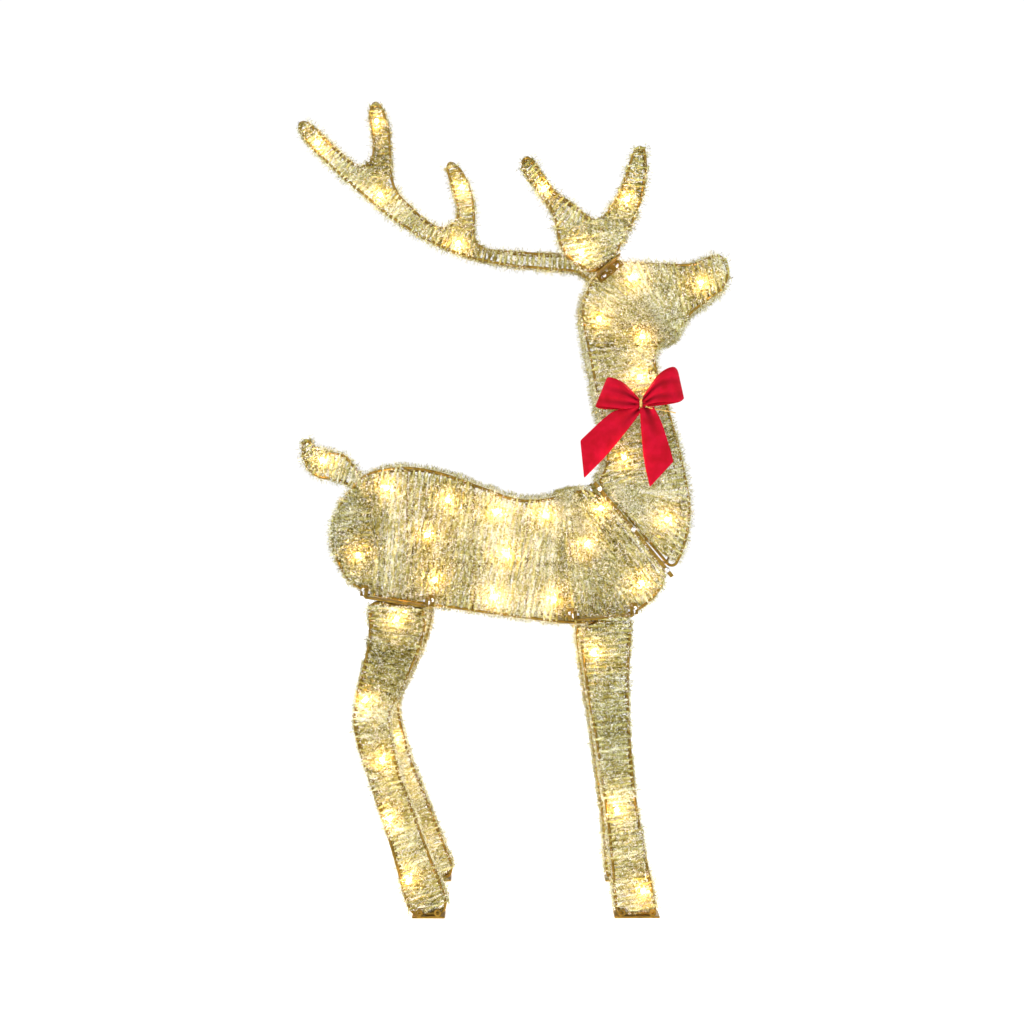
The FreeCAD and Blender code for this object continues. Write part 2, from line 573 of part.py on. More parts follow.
def leg(outline, lights):
    """One leg of the -Y side: winding, frame, hinge bar, foot and lights, and the hinge on the body."""
    line = scaled(outline)
    a, b = line[0], line[1]
    top_z = (a[1] + b[1]) / 2
    high = Lean(-BODY_HALF - LEG_CLEAR, LEG_SPLAY, top_z)
    low = Lean(-BODY_HALF - LEG_CLEAR - LEG_DEPTH, LEG_SPLAY, top_z)
    pa, pb = moved_line(a, b, BAR_DROP)
    sleeve_line = [pa, pb] + line[2:]
    found = {}
    outer = slab(sleeve_line, low, high)
    inner = slab(sleeve_line, low, high, SKIN)
    above = Part.makeBox(2 * ROOM, 2 * ROOM, 2 * ROOM, V(-ROOM, -ROOM, SLEEVE_LIFT))
    found["_tinsel"] = [solid(outer.common(above).cut(inner))]
    loops, crosses = frame(sleeve_line, low, high, LEG_CROSS_PITCH)
    found["_side_wires"] = loops
    found["_cross_wires"] = crosses
    wires, lenses = light_string(scaled(lights), low, high)
    found["_light_wire"] = wires
    found["_lenses"] = lenses

    # hinge bar: a flat bar over the winding with an upright ear at each end
    mid_y = (low.at(top_z) + high.at(top_z)) / 2
    half = LEG_DEPTH / 2
    along = V(b[0] - a[0], 0, b[1] - a[1]).normalize()
    up = V(-along.z, 0, along.x)
    start = V(a[0], mid_y, a[1]) - up * BAR_DROP
    span = math.hypot(b[0] - a[0], b[1] - a[1])
    turn = -math.degrees(math.atan2(along.z, along.x))

    def block(s0, s1, y0, y1, u0, u1):
        box = Part.makeBox(s1 - s0, y1 - y0, u1 - u0, V(s0, y0, u0))
        box.rotate(V(0, 0, 0), V(0, 1, 0), turn)
        box.translate(start)
        return box

    axis_up = BAR_DROP - AXIS_DROP
    axis_foot = start + up * axis_up
    plate = block(0, span, -half, half, 0, BAR_THICK)
    ears = [block(0, EAR_THICK, -BRACKET_HALF, BRACKET_HALF, 0, BAR_DROP)]
    ears.append(block(span - EAR_THICK, span, -BRACKET_HALF, BRACKET_HALF, 0, BAR_DROP))
    hinge_bar = plate.fuse(ears[0]).fuse(ears[1])
    running = Part.makeCylinder(BOLT_R + BOLT_PLAY, span + 2, axis_foot - along, along)
    found["_hinge_bar"] = [hinge_bar.cut(running).removeSplitter()]

    # brackets on the flank, one bolt and one screw each
    brackets = []
    bolts = []
    screws = []
    flank = -BODY_HALF - mid_y
    for s0, way in ((-EAR_GAP - EAR_THICK, 1), (span + EAR_GAP, -1)):
        ear = block(s0, s0 + EAR_THICK, -BRACKET_HALF, flank, axis_up - BRACKET_HALF, axis_up + BRACKET_HALF)
        root = s0 if way < 0 else s0 + EAR_THICK
        f0, f1 = sorted((root, root - way * FLANGE_LONG))
        flange = block(f0, f1, flank - FLANGE_PLATE, flank, axis_up - BRACKET_HALF, axis_up + FLANGE_RISE)
        bracket = ear.fuse(flange).removeSplitter()
        clear_of_ear = (f0 + f1 - way * EAR_THICK) / 2
        screw_seat = start + along * clear_of_ear + up * (axis_up + FLANGE_SCREW_RISE)
        screw_seat = screw_seat + V(0, flank - FLANGE_PLATE, 0)
        screw_shank = Part.makeCylinder(SCREW_R, FLANGE_PLATE, screw_seat, V(0, 1, 0))
        screw_head = dome(screw_seat, V(0, -1, 0), SCREW_HEAD_R, SCREW_HEAD_TALL)
        screws.append(screw_head.fuse(screw_shank).removeSplitter())
        bracket = bracket.cut(screw_shank)
        face = s0 if way > 0 else s0 + EAR_THICK
        seat = axis_foot + along * face
        inner_face = EAR_THICK + EAR_GAP + EAR_THICK + NUT_CLEAR
        shank = Part.makeCylinder(BOLT_R, inner_face + NUT_TALL, seat, along * way)
        head = dome(seat, along * -way, HEAD_R, HEAD_TALL)
        nut = hexagon(seat + along * (way * inner_face), along * way, NUT_R, NUT_TALL)
        brackets.append(bracket.cut(shank))
        bolts.append(head.fuse(shank).fuse(nut).removeSplitter())

    # foot: flat bar with two upright stake eyes outside the winding
    floor = [x for x, z in line if z < 5 * KZ]
    x0, x1 = min(floor), max(floor)
    y_in = high.at(FOOT_BAR)
    y_out = low.at(FOOT_BAR)
    foot = Part.makeBox(x1 - x0, y_in - y_out + FOOT_LIP, FOOT_BAR, V(x0, y_out - FOOT_LIP, 0))
    eyes = []
    for x in (x0 + EYE_INSET, x1 - EYE_INSET):
        centre = V(x, y_out - FOOT_LIP, FOOT_BAR + EYE_R - EYE_BITE)
        eye = Part.makeCylinder(EYE_R, EYE_THICK, centre, V(0, 1, 0))
        bore = Part.makeCylinder(EYE_BORE_R, EYE_THICK, centre, V(0, 1, 0))
        foot = foot.fuse(eye.cut(bore))
        eyes.append(centre + V(0, EYE_THICK / 2, 0))
    found["_foot"] = [foot.removeSplitter()]
    sole = V((x0 + x1) / 2, (y_in + y_out - FOOT_LIP) / 2, 0)
    hinges = {"hinge_brackets": brackets, "hinge_bolts": bolts, "hinge_screws": screws}
    return found, hinges, axis_foot, along, eyes, sole


def flipped(point, flip):
    return V(point.x, -point.y, point.z) if flip else V(point)


for pair, outline, lights in (("rear", REAR_LEG, REAR_LIGHTS), ("front", FRONT_LEG, FRONT_LIGHTS)):
    found, hinges, axis_foot, along, eyes, sole = leg(outline, lights)
    for side, flip in (("near", False), ("far", True)):
        name = side + "_" + pair + "_leg"
        for suffix, shapes in found.items():
            node(name + suffix, *[mirrored(shape) if flip else shape for shape in shapes])
        for hinge_node, shapes in hinges.items():
            node(hinge_node, *[mirrored(shape) if flip else shape for shape in shapes])
        joints[name] = (flipped(axis_foot, flip), along * (1 if flip else -1))
        mounts[name] = ([flipped(eye, flip) for eye in eyes], flipped(sole, flip))

# Origin: on the ground in the middle plane, halfway between the antler tips and the nose
boxes = [shape.BoundBox for shapes in nodes.values() for shape in shapes]
shift = V(-(min(b.XMin for b in boxes) + max(b.XMax for b in boxes)) / 2, 0, 0)

os.makedirs("parts", exist_ok=True)
for name, shapes in nodes.items():
    solids = []
    for shape in shapes:
        for piece in shape.Solids:
            piece = solid(piece.copy())
            piece.translate(shift)
            if not piece.isValid() or not piece.isClosed():
                print("not a sound solid in", name)
            solids.append(piece)
    whole = solids[0] if len(solids) == 1 else Part.makeCompound(solids)
    whole.exportStep("parts/" + name + ".step")
    box = whole.BoundBox
    print(name, len(solids), "solids", round(whole.Volume), [round(v, 1) for v in (box.XMin, box.XMax,
          box.YMin, box.YMax, box.ZMin, box.ZMax)])


def told(point, scale=0.001):
    return [round(c * scale, 6) for c in (point.x, point.y, point.z)]


for name, (foot_point, along) in joints.items():
    print("JOINT", name, told(foot_point + shift), told(along, 1.0))
for name, (eyes, sole) in mounts.items():
    print("MOUNT", name, [told(eye + shift) for eye in eyes], told(sole + shift))
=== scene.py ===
"""Looks of a lighted yard reindeer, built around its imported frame.

Metres, +X forwards to the nose, +Z up, -Y the flank with the bow. Tinsel yarn is wound round every
section of the wire frame, small warm lights shine through it, and a velvet bow is tied to the neck.
"""

import json
import logging
import math
from dataclasses import dataclass
from enum import Enum

import bpy
import numpy as np
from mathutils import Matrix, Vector


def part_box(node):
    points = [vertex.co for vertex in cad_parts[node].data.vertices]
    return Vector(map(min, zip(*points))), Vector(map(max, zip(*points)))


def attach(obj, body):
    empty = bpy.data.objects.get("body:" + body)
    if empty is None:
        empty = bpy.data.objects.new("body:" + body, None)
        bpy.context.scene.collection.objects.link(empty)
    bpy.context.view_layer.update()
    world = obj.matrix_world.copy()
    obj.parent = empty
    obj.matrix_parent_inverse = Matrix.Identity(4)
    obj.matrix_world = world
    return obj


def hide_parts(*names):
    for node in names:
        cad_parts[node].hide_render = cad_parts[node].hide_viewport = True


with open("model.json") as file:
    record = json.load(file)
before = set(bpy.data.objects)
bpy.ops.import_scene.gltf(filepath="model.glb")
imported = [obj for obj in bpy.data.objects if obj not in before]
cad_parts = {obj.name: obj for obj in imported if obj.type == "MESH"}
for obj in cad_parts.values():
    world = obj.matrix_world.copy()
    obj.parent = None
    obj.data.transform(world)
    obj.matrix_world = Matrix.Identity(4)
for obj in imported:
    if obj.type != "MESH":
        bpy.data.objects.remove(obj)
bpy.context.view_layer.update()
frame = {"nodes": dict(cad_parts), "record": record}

log = logging.getLogger("reindeer")
Point = tuple[float, float]
Place = tuple[float, float, float]
Colour = tuple[float, float, float]
Socket = bpy.types.NodeSocket
Material = bpy.types.Material

MM = 0.001
TINY = 1e-12  # added to a length that is divided by
NOISE_LOW, NOISE_HIGH = 0.25, 0.75  # a noise node seldom gives values beyond these


def unit(vectors: np.ndarray) -> np.ndarray:
    """Rows of vectors, each scaled to length one."""
    return vectors / (np.linalg.norm(vectors, axis=1)[:, None] + TINY)


def run_along(points: np.ndarray) -> np.ndarray:
    """The distance run from the first point to each point of a line."""
    return np.concatenate([[0], np.cumsum(np.linalg.norm(np.diff(points, axis=0), axis=1))])


def points_at(at: np.ndarray, run: np.ndarray, line: np.ndarray) -> np.ndarray:
    """Points on a line.

    Args:
        at: the distances along the line to look up.
        run: the distance along the line of each of its own points.
        line: its points, one row each.

    Returns:
        A point for each distance asked for.
    """
    return np.stack([np.interp(at, run, line[:, k]) for k in range(3)], 1)


def vertices_of(mesh: bpy.types.Mesh) -> np.ndarray:
    """A mesh's vertices, one row each."""
    co = np.empty(len(mesh.vertices) * 3, np.float32)
    mesh.vertices.foreach_get("co", co)
    return co.reshape(-1, 3)


def add_crease_shade(mesh: bpy.types.Mesh, crease_shades: list[float]) -> None:
    """Stores how deep in its folds each vertex lies, which sets how much painted shade the velvet mixes in
    there.
    """
    mesh.attributes.new("crease_shade", "FLOAT", "POINT").data.foreach_set("value", crease_shades)


class Metal(Enum):
    """The metals and plastics that hard parts are made of."""

    GOLD_WIRE = "gold_wire"
    CHROME = "chrome_fixing"
    TWIST_TIE = "twist_tie"


class Bench:
    """A material's node tree, with short ways to add and join nodes."""

    def __init__(self, name: str) -> None:
        """Starts an empty material.

        Args:
            name: the material's name.
        """
        self.material = bpy.data.materials.new(name)
        self.material.use_nodes = True
        self.tree = self.material.node_tree
        self.tree.nodes.clear()
        self.output = self.tree.nodes.new("ShaderNodeOutputMaterial")

    def node(self, kind: str, **settings: object) -> bpy.types.Node:
        """Adds a node.

        Args:
            kind: the node's type name.
            settings: attributes to set, or input sockets by name with spaces as underscores.

        Returns:
            The new node.
        """
        made = self.tree.nodes.new(kind)
        for key, value in settings.items():
            socket = key.replace("_", " ")
            if socket in made.inputs:
                made.inputs[socket].default_value = value
            else:
                setattr(made, key, value)
        return made

    def join(self, source: Socket, node: bpy.types.Node, *inputs: str | int) -> None:
        """Links a socket to one or more of a node's inputs."""
        for name in inputs:
            self.tree.links.new(source, node.inputs[name])

    def ramp(self, stops: list[tuple[float, Colour]], source: Socket) -> Socket:
        """Adds a colour ramp.

        Args:
            stops: places along the ramp and their colours.
            source: the value that drives it.

        Returns:
            The ramp's colour socket.
        """
        made = self.tree.nodes.new("ShaderNodeValToRGB")
        band = made.color_ramp
        while len(band.elements) < len(stops):
            band.elements.new(1.0)
        for element, (place, colour) in zip(band.elements, stops):
            element.position = place
            element.color = (*colour, 1.0)
        self.join(source, made, "Fac")
        return made.outputs["Color"]

    def noise(self, scale: float, detail: float = 3.0, rough: float = 0.55) -> Socket:
        """Adds noise on object coordinates and returns its value socket."""
        place = self.node("ShaderNodeTexCoord")
        made = self.node("ShaderNodeTexNoise", Scale=scale, Detail=detail, Roughness=rough)
        self.join(place.outputs["Object"], made, "Vector")
        return made.outputs["Fac"]

    def bump(self, height: Socket, strength: float, distance: float) -> Socket:
        """Adds a bump from a height socket and returns its normal socket."""
        made = self.node("ShaderNodeBump", Strength=strength, Distance=distance)
        self.join(height, made, "Height")
        return made.outputs["Normal"]

    def finish(self, shader: bpy.types.Node) -> Material:
        """Joins a shader to the output and returns the material."""
        self.join(shader.outputs[0], self.output, "Surface")
        return self.material


@dataclass(frozen=True)
class Tinsel:
    """Cut metallic film, from olive shade through gold and lemon to clear, by each strip's tone: gold and
    lemon are the film's own colours, the dark end is painted dark reflection and the clear end painted
    highlight.
    """

    name: str
    # painted dark reflection, at the ramp's dark end
    shade: Colour = (0.085, 0.062, 0.008)
    olive: Colour = (0.30, 0.245, 0.040)
    gold: Colour = (0.575, 0.55, 0.19)
    lemon: Colour = (0.86, 0.87, 0.62)
    # painted highlight, at the ramp's pale end
    clear: Colour = (0.99, 0.99, 0.97)
    tones: tuple[float, ...] = (0.0, 0.20, 0.45, 0.68, 0.86)  # where each colour stands
    roughness: float = 0.30
    duller: float = 0.12  # most that a glint adds to the roughness
    shinier: float = 0.08  # most that it takes from it
    crinkle: float = 0.4 * MM
    metallic: float = 0.55
    # painted light: the film gives off a little light in its own colour, though it is no lamp
    glow: float = 0.10
    patch_scale: float = 16.0
    patch: float = 0.30
    glint_scale: float = 900.0

    def build(self) -> Material:
        """Makes the material."""
        bench = Bench(self.name)
        tone = bench.node("ShaderNodeAttribute", attribute_name="tone")
        patches = bench.node("ShaderNodeMapRange", From_Min=NOISE_LOW, From_Max=NOISE_HIGH,
                             To_Min=-self.patch / 2, To_Max=self.patch / 2)
        bench.join(bench.noise(self.patch_scale, 4.0, 0.6), patches, "Value")
        mixed = bench.node("ShaderNodeMath", operation="ADD")
        bench.join(tone.outputs["Fac"], mixed, 0)
        bench.join(patches.outputs["Result"], mixed, 1)
        colours = (self.shade, self.olive, self.gold, self.lemon, self.clear)
        colour = bench.ramp(list(zip(self.tones, colours)), mixed.outputs[0])
        # the emission below is painted light on the film
        shader = bench.node("ShaderNodeBsdfPrincipled", Metallic=self.metallic,
                            Emission_Strength=self.glow)
        bench.join(colour, shader, "Base Color", "Emission Color")
        glint = bench.noise(self.glint_scale, 2.0)
        spread = bench.node("ShaderNodeMapRange", To_Min=self.roughness - self.shinier,
                            To_Max=self.roughness + self.duller)
        bench.join(glint, spread, "Value")
        bench.join(spread.outputs["Result"], shader, "Roughness")
        bench.join(bench.bump(glint, 0.5, self.crinkle), shader, "Normal")
        return bench.finish(shader)


@dataclass(frozen=True)
class HardFinish:
    """A painted, plated or bare metal, or a moulded plastic."""

    name: str
    light: Colour
    dark: Colour
    metallic: float
    roughness: float
    mottle: float = 60.0
    grain: float = 700.0
    grain_depth: float = 0.05 * MM
    shiniest: float = 0.75  # shares of the roughness that the patches range over
    dullest: float = 1.3
    coat: float = 0.0
    glow: float = 0.0

    def build(self) -> Material:
        """Makes the material."""
        bench = Bench(self.name)
        patches = bench.noise(self.mottle, 4.0)
        grain = bench.noise(self.grain, 2.0)
        shader = bench.node("ShaderNodeBsdfPrincipled", Metallic=self.metallic,
                            Coat_Weight=self.coat, Emission_Strength=self.glow,
                            Emission_Color=(1.0, 1.0, 1.0, 1.0))
        colour = bench.ramp([(0.35, self.dark), (0.62, self.light)], patches)
        bench.join(colour, shader, "Base Color")
        spread = bench.node("ShaderNodeMapRange", To_Min=self.roughness * self.shiniest,
                            To_Max=self.roughness * self.dullest)
        bench.join(patches, spread, "Value")
        bench.join(spread.outputs["Result"], shader, "Roughness")
        bench.join(bench.bump(grain, 0.35, self.grain_depth), shader, "Normal")
        return bench.finish(shader)


@dataclass(frozen=True)
class LitLens:
    """A clear lens with a warm light burning in it."""

    glow: Colour = (1.0, 0.70, 0.30)
    core: Colour = (1.0, 0.90, 0.66)
    strength: float = 24.0

    def build(self) -> Material:
        """Makes the material."""
        bench = Bench("lit_lens")
        swirl = bench.noise(1500.0, 2.0)
        colour = bench.ramp([(0.35, self.glow), (0.6, self.core)], swirl)
        shader = bench.node("ShaderNodeBsdfPrincipled", Roughness=0.12, Coat_Weight=0.5,
                            Emission_Strength=self.strength)
        bench.join(colour, shader, "Base Color", "Emission Color")
        return bench.finish(shader)


@dataclass(frozen=True)
class Velvet:
    """Crimson velvet ribbon: a short pile with a soft sheen, and painted shade that darkens it in its
    folds.
    """

    deep: Colour = (0.36, 0.0008, 0.010)
    bright: Colour = (0.50, 0.0015, 0.022)
    # painted shade: the colour mixed in deep in the folds
    fold_shade: Colour = (0.13, 0.0004, 0.004)
    sheen: float = 0.05
    sheen_tint: Colour = (1.0, 0.30, 0.36)
    specular: float = 0.08
    pile_deep: float = 0.15 * MM

    def build(self) -> Material:
        """Makes the material."""
        bench = Bench("velvet")
        nap = bench.noise(55.0, 3.0, 0.5)
        pile = bench.noise(2600.0, 2.0)
        shader = bench.node("ShaderNodeBsdfPrincipled", Roughness=0.62, Sheen_Weight=self.sheen,
                            Sheen_Roughness=0.4, Sheen_Tint=(*self.sheen_tint, 1.0),
                            Specular_IOR_Level=self.specular)
        # painted shade: each vertex's depth in the folds mixes the painted shade colour in
        crease_shade = bench.node("ShaderNodeAttribute", attribute_name="crease_shade")
        mix = bench.node("ShaderNodeMixRGB", Color2=(*self.fold_shade, 1.0))
        bench.join(crease_shade.outputs["Fac"], mix, "Fac")
        colour = bench.ramp([(0.35, self.deep), (0.65, self.bright)], nap)
        bench.join(colour, mix, "Color1")
        bench.join(mix.outputs["Color"], shader, "Base Color")
        bench.join(bench.bump(pile, 0.3, self.pile_deep), shader, "Normal")
        return bench.finish(shader)


class Finishes:
    """Every finish on the deer, made once."""

    def __init__(self) -> None:
        """Makes the materials."""
        # the fibres' and the yarn's glow is painted light
        self.fibre = Tinsel("tinsel_fibre").build()
        self.yarn = Tinsel("tinsel_yarn", roughness=0.42, patch=0.34, glow=0.05).build()
        self.lens = LitLens().build()
        self.velvet = Velvet().build()
        lead = HardFinish("light_lead", (0.80, 0.66, 0.33), (0.55, 0.40, 0.14), 0.0, 0.35, coat=0.4)
        inlet = HardFinish("inlet_plastic", (0.035, 0.034, 0.03), (0.02, 0.02, 0.018), 0.0, 0.5)
        gold = HardFinish("gold_paint", (0.29, 0.185, 0.030), (0.15, 0.088, 0.012), 0.85, 0.36,
                          mottle=90.0)
        chrome = HardFinish("chrome_plate", (0.86, 0.86, 0.88), (0.62, 0.62, 0.66), 1.0, 0.12)
        tie = HardFinish("twist_tie_gold", (0.88, 0.68, 0.25), (0.55, 0.36, 0.08), 0.9, 0.28,
                         mottle=400.0)
        self.lead = lead.build()
        self.inlet = inlet.build()
        self.metals = {Metal.GOLD_WIRE: gold.build(), Metal.CHROME: chrome.build(),
                       Metal.TWIST_TIE: tie.build()}


class MeshStore:
    """Gathers points, faces and a tone for each point, and turns them into one object."""

    def __init__(self) -> None:
        """Starts empty."""
        self.points: list[np.ndarray] = []
        self.faces: list[np.ndarray] = []
        self.tones: list[np.ndarray] = []
        self.slots: list[np.ndarray] = []
        self.count = 0
        self.triangles = 0

    def add(self, points: np.ndarray, faces: np.ndarray, tones: np.ndarray, slot: int) -> None:
        """Adds triangles.

        Args:
            points: their corners, one row each.
            faces: rows of three indices into points.
            tones: one number for each point.
            slot: the material slot.
        """
        self.points.append(points)
        self.faces.append(faces + self.count)
        self.tones.append(tones)
        self.slots.append(np.full(len(faces), slot))
        self.count += len(points)
        self.triangles += len(faces)

    def build(self, name: str, materials: list[Material]) -> bpy.types.Object:
        """Makes the object from all that was added.

        Args:
            name: the piece's name.
            materials: its materials, in slot order.

        Returns:
            The new object.
        """
        points = np.concatenate(self.points).astype(np.float32)
        faces = np.concatenate(self.faces).astype(np.int32)
        mesh = bpy.data.meshes.new(name)
        mesh.vertices.add(len(points))
        mesh.vertices.foreach_set("co", points.ravel())
        mesh.loops.add(faces.size)
        mesh.loops.foreach_set("vertex_index", faces.ravel())
        mesh.polygons.add(len(faces))
        mesh.polygons.foreach_set("loop_start", np.arange(0, faces.size, 3, dtype=np.int32))
        slots = np.concatenate(self.slots).astype(np.int32)
        mesh.polygons.foreach_set("material_index", slots)
        mesh.polygons.foreach_set("use_smooth", slots == 0)
        mesh.update(calc_edges=True)
        tone = mesh.attributes.new("tone", "FLOAT", "POINT")
        tone.data.foreach_set("value", np.concatenate(self.tones).astype(np.float32))
        for material in materials:
            mesh.materials.append(material)
        made = bpy.data.objects.new(name, mesh)
        bpy.context.scene.collection.objects.link(made)
        return made


class Shell:
    """The outer surface of a winding's CAD node, which the yarn follows."""

    ON_PLANE = 1e-9  # a corner this near the cutting plane counts as above it
    CELLS_PER_M = 2e5  # ends of segments that share a cell of this grid are joined
    NOT_ZERO = 1e-30  # keeps edges that lie along the plane from dividing by nothing
    LEAST_POINTS = 5  # a ring with no more points than this is a scrap

    def __init__(self, node: str) -> None:
        """Reads the node's triangles.

        Args:
            node: the CAD node's name.
        """
        mesh = frame["nodes"][node].data
        mesh.calc_loop_triangles()
        tri = np.empty(len(mesh.loop_triangles) * 3, np.int32)
        mesh.loop_triangles.foreach_get("vertices", tri)
        self.corners = vertices_of(mesh)[tri].reshape(-1, 3, 3).astype(float)

    def rings(self, at: np.ndarray, normal: np.ndarray) -> list[np.ndarray]:
        """Cuts the surface with a plane.

        Args:
            at: a point on the plane.
            normal: the plane's unit normal.

        Returns:
            The closed rings of the cut, each a row of points.
        """
        side = (self.corners - at) @ normal
        side[np.abs(side) < self.ON_PLANE] = self.ON_PLANE
        above = side > 0
        mixed = above.any(1) & ~above.all(1)
        corners, side, above = self.corners[mixed], side[mixed], above[mixed]
        ends = []
        for a, b in ((0, 1), (1, 2), (2, 0)):
            cut = above[:, a] != above[:, b]
            share = side[:, a] / (side[:, a] - side[:, b] + self.NOT_ZERO)
            spot = corners[:, a] + (corners[:, b] - corners[:, a]) * share[:, None]
            ends.append((cut, spot))
        pairs = []
        for i in range(len(corners)):
            pair = [spot[i] for cut, spot in ends if cut[i]]
            if len(pair) == 2:
                pairs.append(pair)
        return self._chained(pairs)

    @classmethod
    def _chained(cls, pairs: list[list[np.ndarray]]) -> list[np.ndarray]:
        """Joins short segments end to end into closed rings."""
        meets: dict[tuple[int, int, int], list[tuple[int, int]]] = {}

        def key(spot: np.ndarray) -> tuple[int, int, int]:
            """A point's cell on a fine grid."""
            return tuple(int(round(v * cls.CELLS_PER_M)) for v in spot)

        for i, pair in enumerate(pairs):
            for end in (0, 1):
                meets.setdefault(key(pair[end]), []).append((i, end))
        used = [False] * len(pairs)
        rings = []
        for start in range(len(pairs)):
            if used[start]:
                continue
            used[start] = True
            ring = [pairs[start][0], pairs[start][1]]
            while True:
                following = [(i, end) for i, end in meets.get(key(ring[-1]), []) if not used[i]]
                if not following:
                    break
                i, end = following[0]
                used[i] = True
                ring.append(pairs[i][1 - end])
            if len(ring) > cls.LEAST_POINTS:
                rings.append(np.array(ring[:-1]))
        return rings


@dataclass(frozen=True)
class Limb:
    """One limb of a section: the line its turns are strung along, in shares of the node's box."""

    line: list[Point]
    reach: float = 1.0  # most that a turn may reach to either side of the line, in metres
    samples: int = 400
    smoothing: int = 41  # samples that a bend is rounded over
    bend_window: int = 9  # samples that a bend's sharpness is averaged over
    end_gap: float = 0.4  # first and last turn's distance from the ends, in pitches
    nudge: float = 1e-3  # half the stretch of line that gives a turn its heading

    def stations(self, node: str, pitch: float, half_depth: float,
                 fan: float) -> tuple[np.ndarray, np.ndarray]:
        """Places the turns.

        Args:
            node: the CAD node whose box the shares are of.
            pitch: distance between turns.
            half_depth: how far the turns reach out from the line.
            fan: how much wider than the pitch they may stand on the outside of a bend.

        Returns:
            The turns' centres and their planes' normals.
        """
        low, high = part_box(node)
        middle = (low.y + high.y) / 2
        span = high - low
        given = np.array([[low.x + u * span.x, middle, low.z + w * span.z] for u, w in self.line])
        run = run_along(given)
        line = self._smooth(points_at(np.linspace(0, run[-1], self.samples), run, given))
        steps = np.diff(line, axis=0)
        length = np.linalg.norm(steps, axis=1)
        run = run_along(line)
        heading = np.unwrap(np.arctan2(steps[:, 2], steps[:, 0]))
        bend = np.abs(np.gradient(heading)) * half_depth
        bend = np.convolve(bend, np.ones(self.bend_window) / self.bend_window, "same")
        effort = np.concatenate([[0], np.cumsum(np.maximum(length, (length + bend) / fan))])
        count = max(2, int(round(effort[-1] / pitch)))
        first = self.end_gap * pitch
        at = np.interp(np.linspace(first, effort[-1] - first, count), effort, run)
        ahead, behind = points_at(at + self.nudge, run, line), points_at(at - self.nudge, run, line)
        return points_at(at, run, line), unit(ahead - behind)

    def _smooth(self, line: np.ndarray) -> np.ndarray:
        """Rounds a line's bends, and leaves its ends where they are."""
        half = self.smoothing // 2
        before = 2 * line[0] - line[half:0:-1]
        after = 2 * line[-1] - line[-2:-half - 2:-1]
        kernel = np.hanning(self.smoothing + 2)[1:-1]
        kernel /= kernel.sum()
        padded = np.concatenate([before, line, after])
        smooth = [np.convolve(padded[:, k], kernel, "valid") for k in range(3)]
        return np.stack(smooth, 1)[:self.samples]


